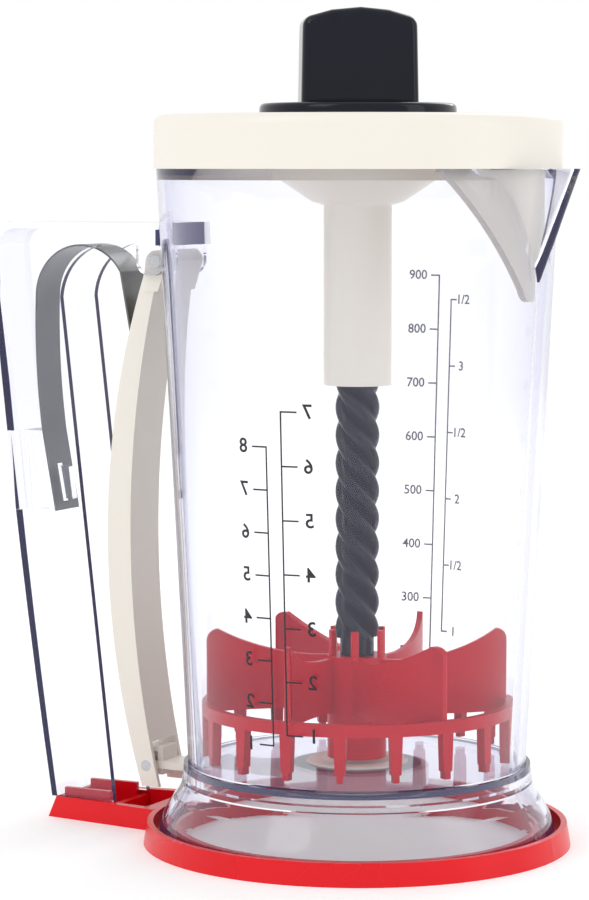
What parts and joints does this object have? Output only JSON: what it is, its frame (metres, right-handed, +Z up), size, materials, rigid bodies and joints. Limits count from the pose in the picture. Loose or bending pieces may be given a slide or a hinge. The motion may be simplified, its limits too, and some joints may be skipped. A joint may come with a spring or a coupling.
{
  "type": "batter dispenser",
  "caption": "Clear measuring jug on a red ring foot, with a trigger handle that opens a gate in its floor and a whisk on a spiral rod driven by the lid knob.",
  "frame": {"origin": "on the jug's axis at the table, in the ring foot's bore", "axes": "+Z up the jug's axis, +X towards the spout, -X towards the handle"},
  "size_m": [0.1694, 0.1132, 0.2193],
  "materials": {
    "clear": "clear",
    "red": "gloss",
    "whisk_red": "gloss",
    "cream": "satin",
    "navy": "gloss",
    "steel": "brushed",
    "seal": "matte"
  },
  "bodies": {
    "stand": {"jug": "clear", "skirt": "clear", "base_ring": "red", "handle_shell": "clear", "lever_pin": "steel", "leaf_spring": "steel", "valve_seat": "cream", "gate_seal": "seal", "floor_seal": "seal", "valve_housing": "cream"},
    "trigger": {"lever": "cream", "gate_pin": "steel"},
    "gate": {"valve_gate": "cream"},
    "seal_ring": {"lid_seal": "seal"},
    "cap": {"lid": "cream", "guide_tube": "cream", "spiral_nut": "cream"},
    "pull_knob": {"knob": "navy", "knob_retainer": "navy"},
    "spinner": {"spiral_rod": "navy", "rod_clip": "steel", "whisk": "whisk_red", "whisk_screw": "steel"}
  },
  "joints": [
    {"name": "trigger_squeeze", "type": "hinge", "parent": "stand", "child": "trigger", "pos_m": [-0.0556, 0, 0.153], "axis": [0, 1, 0], "range_deg": [0, 7], "stiffness_Nm_per_rad": 2, "springref_deg": -6.88, "deforming": ["leaf_spring"]},
    {"name": "gate_slide", "type": "slide", "parent": "stand", "child": "gate", "axis": [-1, 0, 0], "range_m": [0, 0.0168]},
    {"name": "lid_lift", "type": "slide", "parent": "stand", "child": "seal_ring", "axis": [0, 0, 1], "range_m": [0, 0.17]},
    {"name": "lid_turn", "type": "hinge", "parent": "seal_ring", "child": "cap", "pos_m": [0, 0, 0.18], "axis": [0, 0, 1], "continuous": true},
    {"name": "knob_pull", "type": "slide", "parent": "cap", "child": "pull_knob", "axis": [0, 0, 1], "range_m": [0, 0.06]},
    {"name": "rod_spin", "type": "hinge", "parent": "pull_knob", "child": "spinner", "pos_m": [0, 0, 0.19], "axis": [0, 0, 1], "range_deg": [-736, 0]}
  ],
  "couplings": [
    {"joint": "gate_slide", "follows": "trigger_squeeze", "m_per_rad": 0.1362},
    {"joint": "rod_spin", "follows": "knob_pull", "rad_per_m": -213.71}
  ]
}
